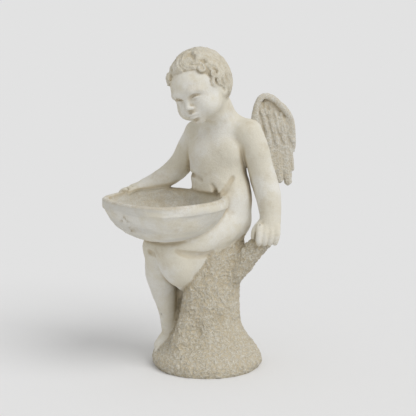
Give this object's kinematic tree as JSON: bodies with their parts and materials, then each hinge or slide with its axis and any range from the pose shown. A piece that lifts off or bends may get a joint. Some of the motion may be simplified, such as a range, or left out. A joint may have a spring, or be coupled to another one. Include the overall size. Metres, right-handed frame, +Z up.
{
  "type": "cherub garden statue",
  "caption": "Cast-stone winged child seated on a tree stump, holding a shallow open basin on the lap.",
  "frame": {"origin": "centre of the base's flat underside", "axes": "+Z up, -Y towards the display side, +X towards the hand that rests on the branch stub"},
  "size_m": [0.5054, 0.4933, 0.8266],
  "materials": {
    "cast_stone": "weathered off-white cast stone, matt, with ochre dirt in the hollows"
  },
  "bodies": {
    "root": {"cherub_statue": "cast_stone"}
  },
  "joints": []
}
